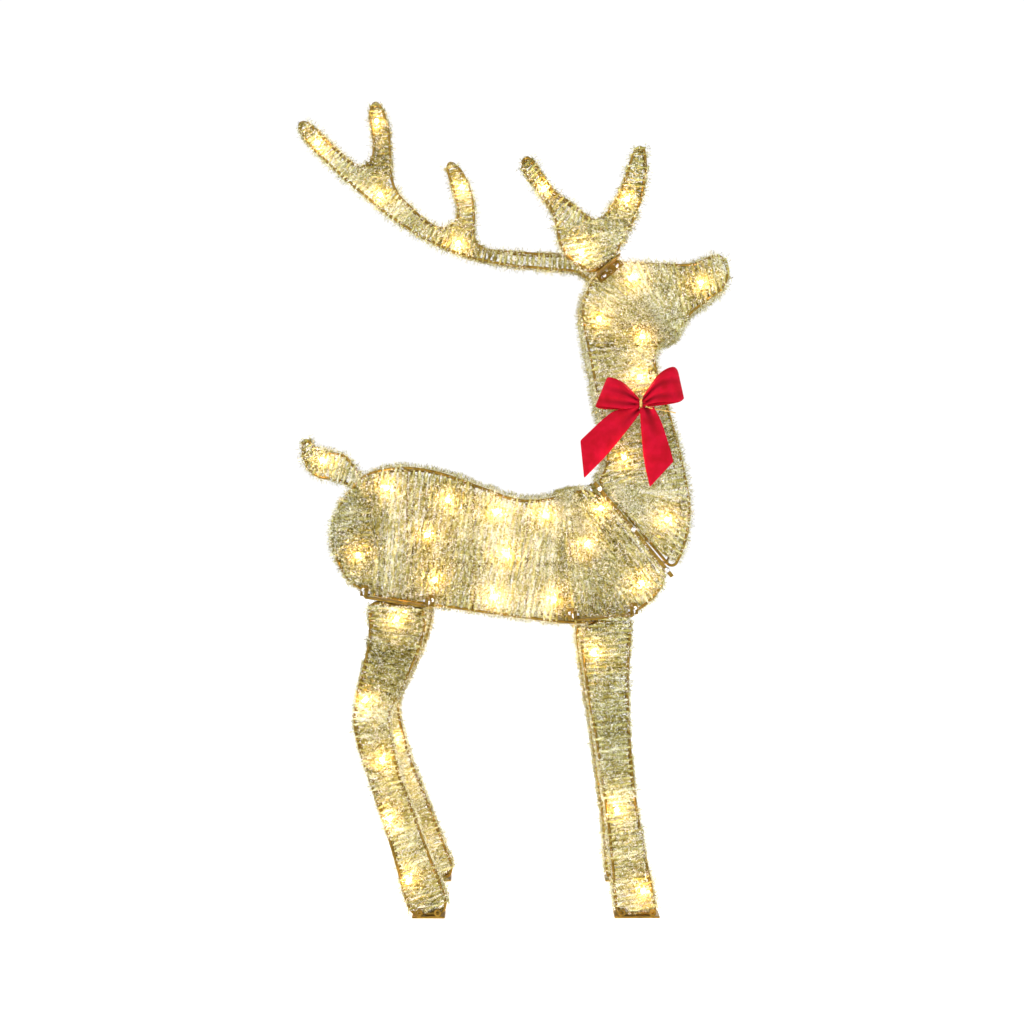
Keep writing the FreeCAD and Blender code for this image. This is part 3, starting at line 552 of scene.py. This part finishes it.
@dataclass(frozen=True)
class TinselSection:
    """A section of the frame wound with tinsel yarn."""

    node: str
    body: str
    limbs: list[Limb]
    seed: int
    half_depth: float = 0.04  # how far the turns reach out from the limb's line
    paleness: float = 0.0
    pitch: float = 9.0 * MM
    fan: float = 1.2  # most that turns stand apart outside a bend, in pitches
    least_turn: float = 0.03  # a shorter cut is a hole, not a turn
    step: float = 7.0 * MM  # between the points of a turn
    edge_reach: float = 8.5 * MM  # how far from a side wire the yarn is drawn tight

    half_width: float = 3.2 * MM  # the strand
    half_thick: float = 0.9 * MM
    tightest: float = 0.62  # share of its width that it loses over a side wire
    swell: float = 0.2
    sink: float = 1.4 * MM
    sink_spread: float = 0.3 * MM
    wobble: float = 1.3 * MM
    strand_sides: int = 5

    fibres_per_m: float = 5000.0  # short cut strips of film
    fibre_long: float = 5.0 * MM
    fibre_wide: float = 1.15 * MM
    rim_share: float = 0.65  # their length on the narrow sides, as a share of that on the faces
    root_spread: float = 0.62  # how far to either side of the strand they start, in pitches
    curl: float = 0.16
    spikes_per_m: float = 380.0  # long stray strips
    spike_long: float = 10.0 * MM
    spike_wide: float = 0.55  # share of a fibre's width
    bulb_room: float = 3.8 * MM  # kept clear of strips round each bulb's tip

    strand_tone: float = -0.14  # tones are places on the tinsel's colour ramp
    strand_spread: float = 0.16
    tone_spread: float = 0.44
    spike_tone: float = 0.26
    spike_spread: float = 0.16
    drift_kept: float = 0.75  # share of a turn's tone that the next turn takes over
    drift_spread: float = 0.055
    most_triangles: int = 178_000  # a piece that reaches this is closed

    def turns(self) -> list[tuple[np.ndarray, np.ndarray]]:
        """Finds each turn of yarn as a closed ring of even steps, with its plane's normal."""
        shell = Shell(self.node)
        found = []
        for limb in self.limbs:
            for centre, normal in zip(*limb.stations(self.node, self.pitch, self.half_depth, self.fan)):
                across = np.cross(normal, [0.0, 1.0, 0.0])
                ring = self._longest(shell.rings(centre, normal), centre, across)
                if ring is None:
                    continue
                away = (ring - centre) @ across
                held = np.clip(away, -limb.reach, limb.reach)
                found.append((self._even(ring + (held - away)[:, None] * across), normal))
        return found

    def _longest(self, rings: list[np.ndarray], centre: np.ndarray,
                 across: np.ndarray) -> np.ndarray | None:
        """Picks a cut's longest ring round the limb's line, if one is long enough for a turn."""
        best, longest = None, self.least_turn
        for ring in rings:
            away = (ring - centre) @ across
            length = np.linalg.norm(np.diff(ring, axis=0), axis=1).sum()
            if away.min() < 0 < away.max() and length > longest:
                best, longest = ring, length
        return best

    def _even(self, ring: np.ndarray) -> np.ndarray:
        """Spaces a closed ring's points evenly and softens its corners."""
        closed = np.concatenate([ring, ring[:1]])
        run = run_along(closed)
        count = max(10, int(round(run[-1] / self.step)))
        even = points_at(np.linspace(0, run[-1], count, endpoint=False), run, closed)
        return 0.25 * np.roll(even, 1, 0) + 0.5 * even + 0.25 * np.roll(even, -1, 0)

    def build(self, finishes: Finishes, bulbs: np.ndarray) -> list[bpy.types.Object]:
        """Winds the yarn and its fibres.

        Args:
            finishes: the finishes to use.
            bulbs: the bulbs' tips, which the fibres leave clear.

        Returns:
            The pieces made.
        """
        rng = np.random.default_rng(self.seed)
        pieces: list[bpy.types.Object] = []
        store = MeshStore()
        drift = 0.0
        for ring, normal in self.turns():
            drift = self.drift_kept * drift + rng.normal(0, self.drift_spread)
            self._wind(store, ring, normal, 0.5 + self.paleness + drift, rng, bulbs)
            if store.triangles > self.most_triangles:
                pieces.append(self._piece(store, finishes, len(pieces) + 1))
                store = MeshStore()
        if store.triangles:
            pieces.append(self._piece(store, finishes, len(pieces) + 1))
        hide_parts(self.node)
        return pieces

    def _piece(self, store: MeshStore, finishes: Finishes, number: int) -> bpy.types.Object:
        """Makes one piece of the winding from a full store."""
        made = store.build(f"{self.node}_winding_{number}", [finishes.yarn, finishes.fibre])
        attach(made, self.body)
        log.info("%s: %d triangles", made.name, store.triangles)
        return made

    def _edge_nearness(self, ring: np.ndarray, out: np.ndarray) -> np.ndarray:
        """How near each point is to a side wire, where the yarn is tight: 1 on it, 0 away from it."""
        on_face = self._faces_side(out)
        turning = np.flatnonzero(on_face != np.roll(on_face, 1))
        if not len(turning):
            return np.zeros(len(ring))
        run = run_along(np.concatenate([ring, ring[:1]]))
        corners = (run[turning] + run[turning - 1]) / 2 if turning[0] > 0 else run[turning]
        gap = np.abs(run[:-1, None] - corners[None, :])
        gap = np.minimum(gap, run[-1] - gap).min(1)
        return np.clip(1.25 - gap / self.edge_reach, 0, 1)

    @staticmethod
    def _faces_side(out: np.ndarray) -> np.ndarray:
        """Whether each outward direction looks to the deer's side rather than round its rim."""
        return np.abs(out[:, 1]) > 0.7

    def _wind(self, store: MeshStore, ring: np.ndarray, normal: np.ndarray, tone: float,
              rng: np.random.Generator, bulbs: np.ndarray) -> None:
        """Adds one turn: a soft flat strand, and the fibres that stand out of it.

        Args:
            store: takes the triangles.
            ring: the turn's points on the section's surface.
            normal: its plane's normal.
            tone: its own tone.
            rng: the section's random numbers.
            bulbs: the bulbs' tips.
        """
        count = len(ring)
        along = unit(np.roll(ring, -1, 0) - np.roll(ring, 1, 0))
        out = np.cross(along, normal)
        if ((ring - ring.mean(0)) * out).sum() < 0:
            out = -out
        near = self._edge_nearness(ring, out)
        wobble = rng.normal(0, 1, count)
        wobble = (wobble + np.roll(wobble, 1) + np.roll(wobble, 2)) / 3
        spine = ring - out * (self.sink + self.sink_spread * rng.normal(0, 1, (count, 1)))
        spine = spine + normal * (wobble[:, None] * self.wobble)
        self._strand(store, spine, out, normal, near, tone, rng)

        perimeter = np.linalg.norm(np.roll(ring, -1, 0) - ring, axis=1).sum()
        fibres = int(perimeter * self.fibres_per_m)
        spikes = int(perimeter * self.spikes_per_m)
        total = fibres + spikes
        spiky = np.arange(total) >= fibres
        where = rng.random(total) * count
        index = where.astype(int)
        share = (where - index)[:, None]
        after = (index + 1) % count
        root = spine[index] * (1 - share) + spine[after] * share
        up = unit(out[index] * (1 - share) + out[after] * share)
        root = root + normal * rng.uniform(-self.root_spread, self.root_spread, (total, 1)) * self.pitch
        root = root + up * rng.uniform(-0.3, 1.6, (total, 1)) * MM
        angle = rng.uniform(0, 2 * np.pi, (total, 1))
        way = along[index] * np.cos(angle) + normal * np.sin(angle)
        way = way + up * rng.uniform(-0.05, 0.55, (total, 1))
        way[spiky] = way[spiky] * 0.55 + up[spiky]
        way = unit(way)
        length = self.fibre_long * rng.uniform(0.5, 1.3, (total, 1))
        length *= np.where(self._faces_side(up), 1.0, self.rim_share)[:, None]
        length[spiky] = self.spike_long * rng.uniform(0.6, 1.15, (spikes, 1))
        wide = unit(np.cross(way, rng.normal(0, 1, (total, 3))))
        wide *= self.fibre_wide * rng.uniform(0.5, 1.15, (total, 1)) / 2
        wide[spiky] *= self.spike_wide
        bend = rng.normal(0, self.curl, (total, 3)) + up * 0.12
        middle = root + way * length * 0.5 + bend * length
        keep = rng.random(total) > np.where(spiky, 0.35, 0.95) * near[index]
        for bulb in bulbs:
            keep &= np.linalg.norm(middle - bulb, axis=1) > self.bulb_room
        # each fibre's tone, at random: the film's gold, painted highlights and painted dark reflections
        own = np.clip(tone + rng.normal(0.02, self.tone_spread, total), 0, 1)
        own[spiky] = np.clip(rng.normal(self.spike_tone, self.spike_spread, spikes), 0, 1)
        leaf = np.stack([root, middle + wide, middle - wide, root + way * length], 1)[keep]
        first = np.arange(len(leaf))[:, None] * 4
        faces = np.concatenate([first + [0, 1, 2], first + [2, 1, 3]])
        store.add(leaf.reshape(-1, 3), faces, own[keep].repeat(4), 1)

    def _strand(self, store: MeshStore, spine: np.ndarray, out: np.ndarray, normal: np.ndarray,
                near: np.ndarray, tone: float, rng: np.random.Generator) -> None:
        """Adds the turn's flat, soft core, narrower where it is drawn over a side wire.

        Args:
            spine: the core's middle line, with the outward direction and the nearness to a side
                wire of each of its points in out and near. The rest are as in _wind.
        """
        count, sides = len(spine), self.strand_sides
        angle = np.arange(sides) * 2 * np.pi / sides + 0.3
        width = self.half_width * (1 - self.tightest * near)[:, None, None]
        swell = 1 + self.swell * rng.normal(0, 1, (count, 1, 1))
        skin = spine[:, None] + swell * (np.cos(angle)[None, :, None] * normal * width
                                         + np.sin(angle)[None, :, None] * out[:, None] * self.half_thick)
        i = np.arange(count)[:, None]
        j = np.arange(sides)[None, :]
        a, b = i * sides + j, i * sides + (j + 1) % sides
        d, c = (a + sides) % (count * sides), (b + sides) % (count * sides)
        faces = np.concatenate([np.stack([a, b, c], -1).reshape(-1, 3),
                                np.stack([a, c, d], -1).reshape(-1, 3)])
        flat = skin.reshape(-1, 3)
        corner = flat[faces]
        across = np.cross(corner[:, 1] - corner[:, 0], corner[:, 2] - corner[:, 0])
        outward = corner[:, 0] - spine[faces[:, 0] // sides]
        if (across * outward).sum() < 0:
            faces = faces[:, ::-1]
        tones = np.clip(tone + self.strand_tone + rng.normal(0, self.strand_spread, count * sides), 0, 1)
        store.add(flat, faces, tones, 0)


@dataclass(frozen=True)
class LightString:
    """The small lights: lenses that show through the tinsel, and the light that they throw on it."""

    node: str
    body: str
    radius: float = 3.1 * MM
    proud: float = 5.6 * MM  # how far a lens stands out past its CAD lens
    clearing: float = 0.6  # share of that at which the tinsel is parted
    bulb_span: float = 9.0 * MM  # vertices nearer than this belong to one bulb
    end_band: float = 0.4 * MM  # depth of a CAD lens's end, and where the shown lens starts
    stem_flat: float = 0.15  # how much of its roundness the hidden end keeps
    lamp_out: float = 13.0 * MM
    lamp_power: float = 0.092
    lamp_colour: Colour = (1.0, 0.57, 0.22)
    lamp_size: float = 2.5 * MM

    def bulbs(self) -> list[tuple[np.ndarray, np.ndarray]]:
        """Finds each CAD lens's foot and tip: the wider end is the foot."""
        spots = vertices_of(frame["nodes"][self.node].data).astype(float)
        found = []
        left = np.ones(len(spots), bool)
        while left.any():
            near = left & (np.linalg.norm(spots - spots[np.argmax(left)], axis=1) < self.bulb_span)
            group = spots[near]
            left &= ~near
            low, high = group.min(0), group.max(0)
            x, _, z = (low + high) / 2
            radial = np.hypot(group[:, 0] - x, group[:, 2] - z)
            at_low = radial[group[:, 1] < low[1] + self.end_band].max()
            at_high = radial[group[:, 1] > high[1] - self.end_band].max()
            foot, tip = (low[1], high[1]) if at_low > at_high else (high[1], low[1])
            found.append((np.array([x, foot, z]), np.array([x, tip, z])))
        return found

    def tips(self) -> np.ndarray:
        """The places where the lenses come through the tinsel."""
        return np.array([tip + [0, np.sign(tip[1] - foot[1]) * self.proud * self.clearing, 0]
                         for foot, tip in self.bulbs()])

    def build(self, finishes: Finishes) -> bpy.types.Object:
        """Makes the lenses and the lamps beside them.

        Args:
            finishes: the finishes to use.

        Returns:
            The piece that stands for all lenses of the body.
        """
        lenses = []
        for foot, tip in self.bulbs():
            way = float(np.sign(tip[1] - foot[1]))
            top = tip[1] + way * self.proud
            lenses.append(self._lens(tip[0], tip[2], foot[1], top, way))
            self._lamp((tip[0], top + way * self.lamp_out, tip[2]))
        bpy.ops.object.select_all(action="DESELECT")
        for lens in lenses:
            lens.select_set(True)
        bpy.context.view_layer.objects.active = lenses[0]
        bpy.ops.object.join()
        made = bpy.context.object
        made.name = f"{self.node}_lit"
        made.data.materials.clear()
        made.data.materials.append(finishes.lens)
        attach(made, self.body)
        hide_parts(self.node)
        log.info("%s: %d lenses", made.name, len(lenses))
        return made

    def _lens(self, x: float, z: float, foot: float, top: float, way: float) -> bpy.types.Object:
        """Makes one lens: a ball's outer half, drawn out to the bulb's foot behind.

        Args:
            x: its place along the deer.
            z: its height.
            foot: where its hidden end is, across the deer.
            top: where its outer end is.
            way: 1 if it looks to +Y, -1 if to -Y.
        """
        middle = top - way * self.radius
        bpy.ops.mesh.primitive_uv_sphere_add(segments=14, ring_count=10, radius=self.radius,
                                             location=(x, middle, z), rotation=(math.pi / 2, 0, 0))
        lens = bpy.context.object
        bpy.ops.object.transform_apply(location=True, rotation=True, scale=True)
        for vertex in lens.data.vertices:
            past = vertex.co.y - middle
            if past * way < -1e-5:
                vertex.co.y = foot + way * self.end_band + past * self.stem_flat
        bpy.ops.object.shade_smooth()
        return lens

    def _lamp(self, place: Place) -> None:
        """Hangs a small lamp before a lens, to throw its light on the tinsel round it."""
        lamp = bpy.data.lights.new(f"{self.node}_lamp", "POINT")
        lamp.energy = self.lamp_power
        lamp.color = self.lamp_colour
        lamp.shadow_soft_size = self.lamp_size
        holder = bpy.data.objects.new(f"{self.node}_lamp", lamp)
        holder.location = place
        bpy.context.scene.collection.objects.link(holder)
        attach(holder, self.body)


@dataclass(frozen=True)
class Ribbon:
    """A strip of ribbon, as a grid between its two edges, from the knot outwards."""

    name: str
    node: str
    upper: list[Place]
    lower: list[Place]
    flat: tuple[float, float]
    held: str
    pleats: float = 2.5
    pleat_deep: float = 3.2 * MM
    pleat_fade: float = 4.2  # how fast the pleats run out, away from the knot
    sway: float = 0.9
    belly: float = 1.6 * MM
    columns: int = 30
    rows: int = 16
    thick: float = 0.9 * MM

    def build(self, knot: Vector, finishes: Finishes) -> bpy.types.Object:
        """Makes the strip.

        Args:
            knot: the middle of the bow's knot.
            finishes: the finishes to use.

        Returns:
            The ribbon's piece.
        """
        upper, lower = self._edge(self.upper), self._edge(self.lower)
        bpy.ops.mesh.primitive_grid_add(x_subdivisions=self.columns, y_subdivisions=self.rows, size=1.0)
        made = bpy.context.object
        made.name = self.name
        crease_shades = []
        for vertex in made.data.vertices:
            s = min(max(vertex.co.x + 0.5, 0.0), 1.0)
            v = min(max(vertex.co.y + 0.5, 0.0), 1.0)
            at = s * (len(upper) - 1)
            i = min(int(at), len(upper) - 2)
            f = at - i
            top = upper[i] * (1 - f) + upper[i + 1] * f
            low = lower[i] * (1 - f) + lower[i + 1] * f
            spot = low * (1 - v) + top * v
            fade = math.exp(-self.pleat_fade * min(s, 1.0 - s if self.held == "folded" else s))
            wave = math.sin(2 * math.pi * self.pleats * v + 0.6 + self.sway * math.sin(5 * s))
            spot.y -= self.pleat_deep * fade * wave
            # painted shade: darkest in the valleys of the pleats, fading away from the knot
            crease_shades.append(min(0.85, max(0.0, 0.25 - 0.75 * wave) * fade * 1.25))
            spot.y -= self.belly * math.sin(math.pi * v) * math.sin(math.pi * s)
            vertex.co = knot + spot
        add_crease_shade(made.data, crease_shades)
        solid = made.modifiers.new("ribbon_thickness", "SOLIDIFY")
        solid.thickness = self.thick
        solid.offset = 0.0
        bpy.ops.object.modifier_apply(modifier=solid.name)
        round_edges = made.modifiers.new("soft_edges", "SUBSURF")
        round_edges.levels = round_edges.render_levels = 1
        bpy.ops.object.modifier_apply(modifier=round_edges.name)
        bpy.ops.object.mode_set(mode="EDIT")
        bpy.ops.mesh.select_all(action="SELECT")
        bpy.ops.mesh.normals_make_consistent(inside=False)
        bpy.ops.object.mode_set(mode="OBJECT")
        bpy.ops.object.shade_smooth()
        made.data.materials.append(finishes.velvet)
        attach(made, "deer")
        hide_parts(self.node)
        return made

    @staticmethod
    def _edge(points: list[Place]) -> list[Vector]:
        """A smooth line through an edge's points, by a Catmull-Rom curve in eight steps a span."""
        given = [Vector(p) for p in points]
        given = [2 * given[0] - given[1], *given, 2 * given[-1] - given[-2]]
        line = []
        for a, b, c, d in zip(given, given[1:], given[2:], given[3:]):
            for k in range(8):
                t = k / 8
                line.append(0.5 * (2 * b + (c - a) * t + (2 * a - 5 * b + 4 * c - d) * t * t
                                   + (3 * b - a - 3 * c + d) * t * t * t))
        line.append(given[-2])
        return line


@dataclass(frozen=True)
class Bow:
    """The ribbon bow on the neck: two loops, two tails, a knot and a gold twist tie."""

    band: float = 0.050  # the ribbon's width
    loop_cut: float = 0.150  # the lengths it is cut to
    tail_cut: float = 0.150
    drop: float = 0.005  # from the CAD knot's middle to this one's
    knot_half: Place = (10.0, 9.5, 9.0)  # millimetres, and so the next two
    knot_out: float = 3.0
    tie_turn: Place = (4.0, 8.0, 7.4)  # the turns' width, and their half sizes
    tie_steps: int = 32  # in its two turns

    def build(self, finishes: Finishes) -> None:
        """Makes the bow's pieces."""
        low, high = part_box("bow_knot")
        knot = Vector(((low.x + high.x) / 2, (low.y + high.y) / 2, (low.z + high.z) / 2 - self.drop))
        loops = {
            "rear": ([(-3, -6, 8), (-26, -15, 31), (-46, -16, 40), (-53, -2, 40), (-47, 8, 36),
                      (-24, 9, 24), (-3, 6, 5)],
                     [(-3, -6, -6), (-28, -12, -9), (-60, -10, -5), (-71, -1, -4), (-62, 9, -8),
                      (-30, 9, -9), (-3, 6, -5)]),
            "front": ([(3, -6, 10), (27, -15, 45), (50, -16, 57), (59, -3, 47), (50, 8, 40),
                       (26, 9, 26), (3, 6, 6)],
                      [(3, -6, -5), (26, -12, 1), (56, -11, 2), (68, -2, 8), (60, 9, 2),
                       (28, 9, -3), (3, 6, -5)]),
        }
        for side, (upper, lower) in loops.items():
            Ribbon(f"bow_{side}_loop", f"bow_loop_{side}", self._mm(upper), self._mm(lower),
                   (self.band, self.loop_cut), "folded").build(knot, finishes)
        tails = {
            "rear": ([(-3, -4, -4), (-33, -5, -9), (-54, 0, -20), (-95, 1, -58)],
                     [(0, -4, -14), (-21, -3, -42), (-53, -1, -81), (-89, -1, -118)]),
            "front": ([(-2, -4, -7), (1, -5, -50), (5, -2, -88), (14, -4, -132)],
                      [(20, -6, -5), (32, -4, -28), (42, -1, -56), (52, -2, -91)]),
        }
        for side, (upper, lower) in tails.items():
            Ribbon(f"bow_{side}_tail", f"bow_tail_{side}", self._mm(upper), self._mm(lower),
                   (self.band, self.tail_cut), "hung", pleats=1.25, rows=14).build(knot, finishes)
        self._knot(knot, finishes)
        self._tie(knot, finishes)

    @staticmethod
    def _mm(points: list[Place]) -> list[Place]:
        """Points given in millimetres, in metres."""
        return [(x * MM, y * MM, z * MM) for x, y, z in points]

    def _knot(self, knot: Vector, finishes: Finishes) -> None:
        """The gathered knot, pinched in its middle."""
        bpy.ops.mesh.primitive_uv_sphere_add(segments=40, ring_count=24, radius=1.0)
        made = bpy.context.object
        made.name = "bow_gathered_knot"
        half_x, half_y, half_z = self.knot_half
        crease_shades = []
        for vertex in made.data.vertices:
            x, y, z = vertex.co
            pinch = 0.62 + 0.38 * abs(x) ** 1.3
            wave = math.sin(9 * math.atan2(z, y) + 1.5 * x)
            ridge = 1 + 0.13 * wave
            # painted shade: darker in the valleys between the knot's gathers
            crease_shades.append(min(0.8, max(0.0, 0.3 - 0.7 * wave)))
            round_y, round_z = y * half_y * pinch * ridge, z * half_z * pinch * ridge
            vertex.co = knot + Vector((x * half_x, round_y - self.knot_out, round_z)) * MM
        add_crease_shade(made.data, crease_shades)
        bpy.ops.object.shade_smooth()
        made.data.materials.append(finishes.velvet)
        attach(made, "deer")
        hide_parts("bow_knot")

    def _tie(self, knot: Vector, finishes: Finishes) -> None:
        """The twist tie: two turns round the knot and one end that sticks out."""
        wide, half_y, half_z = self.tie_turn
        places = []
        for k in range(self.tie_steps + 1):
            share = k / self.tie_steps
            angle = 4 * math.pi * share + 0.8
            places.append(((share - 0.5) * wide, math.cos(angle) * half_y - self.knot_out,
                           math.sin(angle) * half_z))
        places += [(8, -9, -6), (18, -8, -8), (30, -5, -10), (42, -3, -12), (55, -3, -15)]
        points = [knot + Vector(place) * MM for place in places]
        line = bpy.data.curves.new("bow_twist_tie", "CURVE")
        line.dimensions = "3D"
        line.bevel_depth = 1.0 * MM
        line.bevel_resolution = 2
        line.resolution_u = 3
        spline = line.splines.new("NURBS")
        spline.points.add(len(points) - 1)
        for spot, point in zip(spline.points, points):
            spot.co = (*point, 1.0)
        spline.order_u = 3
        spline.use_endpoint_u = True
        line.use_fill_caps = True
        made = bpy.data.objects.new("bow_twist_tie", line)
        bpy.context.scene.collection.objects.link(made)
        bpy.ops.object.select_all(action="DESELECT")
        made.select_set(True)
        bpy.context.view_layer.objects.active = made
        bpy.ops.object.convert(target="MESH")
        made = bpy.context.object
        bpy.ops.object.shade_smooth()
        made.data.materials.append(finishes.metals[Metal.TWIST_TIE])
        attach(made, "deer")
        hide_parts("bow_tie")


def dress_hardware(finishes: Finishes) -> None:
    """Gives the wires, flat bars, bolts and leads that come from the frame their finishes.

    Args:
        finishes: the finishes to use.
    """
    plain = {"lead_inlet": finishes.inlet, "light_wire": finishes.lead}
    plain.update({metal.value: made for metal, made in finishes.metals.items()})
    for part in frame["record"]["subparts"]:
        material = plain.get(part["material_slot"])
        if material is None:
            continue
        node = frame["nodes"][part["node"]]
        node.data.materials.clear()
        node.data.materials.append(material)
        log.info("%s dressed in %s", part["node"], material.name)


@dataclass(frozen=True)
class Studio:
    """A white studio: floor, soft lights and the camera at the viewing height."""

    along: float = 0.008
    distance: float = 2.80
    eye: float = 0.6215
    half_view: float = 0.8284  # half the width seen at the deer
    air: float = 1.05
    key: float = 32.0  # watts
    side: float = 12.0
    aim: Place = (0.0, 0.0, 0.7)
    sensor: float = 36.0  # millimetres

    def build(self) -> None:
        """Makes the floor, the lights and the camera."""
        scene = bpy.context.scene
        scene.view_settings.view_transform = "Standard"
        world = bpy.data.worlds.new("studio_air")
        world.use_nodes = True
        air = world.node_tree.nodes["Background"]
        air.inputs["Color"].default_value = (1.0, 1.0, 1.0, 1.0)
        air.inputs["Strength"].default_value = self.air
        scene.world = world
        bpy.ops.mesh.primitive_plane_add(size=30.0, location=(0, 0, 0))
        floor = bpy.context.object
        floor.name = "studio_floor"
        paint = HardFinish("floor_paint", (0.96, 0.96, 0.955), (0.93, 0.93, 0.925), 0.0, 0.8,
                           mottle=2.0, grain=200.0, glow=0.35)
        floor.data.materials.append(paint.build())
        self._softbox("key_light", (-1.6, -2.4, 2.6), 1.6, self.key)
        self._softbox("side_light", (2.6, -1.2, 1.4), 1.2, self.side)
        self._softbox("back_light", (0.6, 2.6, 2.2), 1.6, self.side)
        lens = bpy.data.cameras.new("view")
        lens.sensor_width = self.sensor
        lens.lens = self.sensor / 2 * self.distance / self.half_view
        camera = bpy.data.objects.new("view", lens)
        camera.location = (self.along, -self.distance, self.eye)
        camera.rotation_euler = (math.pi / 2, 0, 0)
        scene.collection.objects.link(camera)
        scene.camera = camera

    def _softbox(self, name: str, place: Place, size: float, power: float) -> None:
        """Adds a square soft light aimed at the deer's middle."""
        light = bpy.data.lights.new(name, "AREA")
        light.size = size
        light.energy = power
        holder = bpy.data.objects.new(name, light)
        holder.location = place
        holder.rotation_euler = (Vector(self.aim) - Vector(place)).to_track_quat("-Z", "Y").to_euler()
        bpy.context.scene.collection.objects.link(holder)


def sections() -> list[TinselSection]:
    """The wound sections, each with the lines that its turns are strung along."""
    rear = [Limb([(0.46, 1.0), (0.45, 0.93), (0.40, 0.82), (0.21, 0.64), (0.20, 0.57), (0.30, 0.42),
                  (0.56, 0.20), (0.79, 0.0)])]
    front = [Limb([(0.32, 1.0), (0.36, 0.76), (0.43, 0.58), (0.58, 0.26), (0.75, 0.0)])]
    body = [Limb([(0.0, 0.58), (0.24, 0.54), (0.49, 0.45), (0.68, 0.38), (0.79, 0.41), (0.898, 0.59)]),
            Limb([(0.065, 0.16), (0.060, 0.86)], 0.036)]
    neck = [Limb([(0.350, 0.126), (0.44, 0.182), (0.46, 0.253), (0.40, 0.373), (0.33, 0.533),
                  (0.265, 0.673), (0.265, 0.78), (0.37, 0.864), (0.56, 0.904), (0.77, 0.924),
                  (1.0, 0.95)])]
    tail = [Limb([(0.93, 0.30), (0.55, 0.45), (0.24, 0.52), (0.06, 0.96)])]
    short_antler = [Limb([(0.70, 0.03), (0.63, 0.20), (0.595, 0.42)], 0.075),
                    Limb([(0.56, 0.40), (0.40, 0.48), (0.25, 0.635), (0.02, 0.91)], 0.036),
                    Limb([(0.66, 0.36), (0.80, 0.44), (0.885, 0.60), (0.915, 0.825), (0.92, 0.99)],
                         0.036)]
    long_antler = [Limb([(0.975, 0.03), (0.92, 0.09), (0.86, 0.11), (0.675, 0.12), (0.56, 0.16),
                         (0.43, 0.25), (0.315, 0.387), (0.20, 0.54), (0.105, 0.67), (0.01, 0.865)],
                        0.034),
                   Limb([(0.544, 0.28), (0.544, 0.347), (0.533, 0.466), (0.495, 0.64)], 0.03),
                   Limb([(0.29, 0.57), (0.275, 0.71), (0.273, 0.80), (0.25, 0.985)], 0.03)]
    found = [
        TinselSection("body_tinsel", "deer", body, 11, half_depth=0.115),
        TinselSection("neck_tinsel", "deer", neck, 12, half_depth=0.075),
        TinselSection("tail_tinsel", "deer", tail, 13, half_depth=0.025),
        TinselSection("near_antler_tinsel", "deer", short_antler, 14, half_depth=0.02),
        TinselSection("far_antler_tinsel", "deer", long_antler, 15, half_depth=0.02),
    ]
    for i, side in enumerate(("near", "far")):
        found += [TinselSection(f"{side}_rear_leg_tinsel", f"{side}_rear_leg", rear, 21 + i, paleness=0.06),
                  TinselSection(f"{side}_front_leg_tinsel", f"{side}_front_leg", front, 31 + i)]
    return found


def main() -> None:
    """Builds the deer's looks in order."""
    logging.basicConfig(level=logging.INFO, format="%(name)s: %(message)s")
    finishes = Finishes()
    strings = [LightString("light_lenses", "deer")]
    for side in ("near", "far"):
        for pair in ("rear", "front"):
            strings.append(LightString(f"{side}_{pair}_leg_lenses", f"{side}_{pair}_leg"))
    tips = {string.body: string.tips() for string in strings}
    for string in strings:
        string.build(finishes)
    for section in sections():
        section.build(finishes, tips[section.body])
    Bow().build(finishes)
    dress_hardware(finishes)
    Studio().build()


if __name__ == "__main__":
    main()
